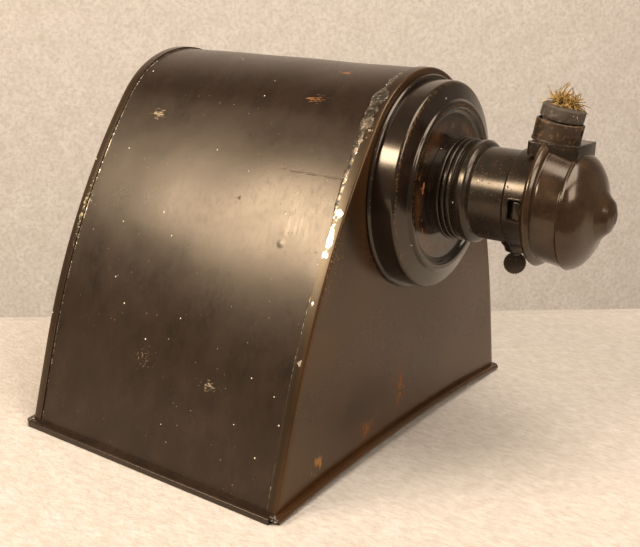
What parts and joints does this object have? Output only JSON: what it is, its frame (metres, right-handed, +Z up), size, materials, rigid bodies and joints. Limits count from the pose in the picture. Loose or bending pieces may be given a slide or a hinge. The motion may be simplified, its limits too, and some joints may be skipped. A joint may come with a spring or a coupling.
{
  "type": "magic lantern",
  "caption": "Small tin lantern: a hooded lamp house open at its foot, a pull-off lamp cover with a turn-key holder, a slide stage and a sliding lens tube.",
  "frame": {"origin": "under the middle of the whole outline, on the surface the lantern stands on", "axes": "+X along the lamp axis towards the lamp holder, -Y the front, +Z up; the lens points along -X"},
  "size_m": [0.2196, 0.1822, 0.1475],
  "materials": {
    "japanned_tin": "black japan gone warm brown, satin, worn to tin at its edges",
    "japanned_plate": "black japan gone warm brown, satin, with rust at its foot",
    "japanned_cover": "black japan, glossy, worn golden brown on its pressed edges",
    "silvered_reflector": "polished silvered face",
    "bronzed_brass": "chemically blackened brass, polished, with dull patches",
    "tarnished_cap": "blackened brass gone brown, glossy, with rusty patches",
    "lacquered_brass": "lacquered brass, darkened with age",
    "contact_brass": "plain brass",
    "bare_steel": "plain steel, dull",
    "solder": "grey solder",
    "filament_wire": "fine grey wire",
    "insulating_fibre": "pressed brown fibre",
    "bushing_fibre": "hard grey fibre, matte",
    "porcelain": "cream glaze",
    "clear_glass": "clear",
    "cotton_cord": "yellow cotton, frayed at its cut end"
  },
  "bodies": {
    "house": {"hood_sheet": "japanned_tin", "end_plate_lamp": "japanned_plate", "end_plate_lens": "japanned_plate", "lamp_collar": "japanned_cover", "stage_back": "japanned_tin", "stage_front": "japanned_tin", "slide_springs": "bare_steel", "condenser_lens": "clear_glass", "condenser_ring": "lacquered_brass", "lens_sleeve": "lacquered_brass"},
    "lamp_unit": {"lamp_cover": "japanned_cover", "reflector": "silvered_reflector", "shade_ring": "bronzed_brass", "shade_ring_inner": "lacquered_brass", "holder_shell": "bronzed_brass", "shell_liner": "insulating_fibre", "holder_body": "porcelain", "screw_shell": "lacquered_brass", "centre_contact": "contact_brass", "side_contact": "contact_brass", "terminal_screws": "contact_brass", "holder_cap": "tarnished_cap", "cap_liner": "insulating_fibre", "cap_latch": "bronzed_brass", "cord_nipple": "bronzed_brass", "set_screw": "bare_steel", "cord_bushing": "bushing_fibre", "cord_stub": "cotton_cord"},
    "key": {"key_shaft": "bronzed_brass", "key_leaf": "bronzed_brass"},
    "bulb": {"lamp_globe": "clear_glass", "lamp_base": "contact_brass", "lamp_contact": "solder", "lamp_stem": "clear_glass", "filament": "filament_wire"},
    "middle_draw": {"middle_draw": "lacquered_brass"},
    "lens": {"lens_draw": "lacquered_brass", "objective_lens": "clear_glass", "lens_ring": "lacquered_brass"}
  },
  "joints": [
    {"name": "cover_pull", "type": "slide", "parent": "house", "child": "lamp_unit", "axis": [1, 0, 0], "range_m": [0, 0.08]},
    {"name": "key_turn", "type": "hinge", "parent": "lamp_unit", "child": "key", "pos_m": [0.07565, 0, 0.1043], "axis": [0, 0, -1], "continuous": true},
    {"name": "bulb_out", "type": "slide", "parent": "lamp_unit", "child": "bulb", "axis": [-1, 0, 0], "range_m": [0, 0.026]},
    {"name": "middle_slide", "type": "slide", "parent": "house", "child": "middle_draw", "axis": [-1, 0, 0], "range_m": [0, 0.008]},
    {"name": "lens_slide", "type": "slide", "parent": "middle_draw", "child": "lens", "axis": [-1, 0, 0], "range_m": [0, 0.009]}
  ]
}
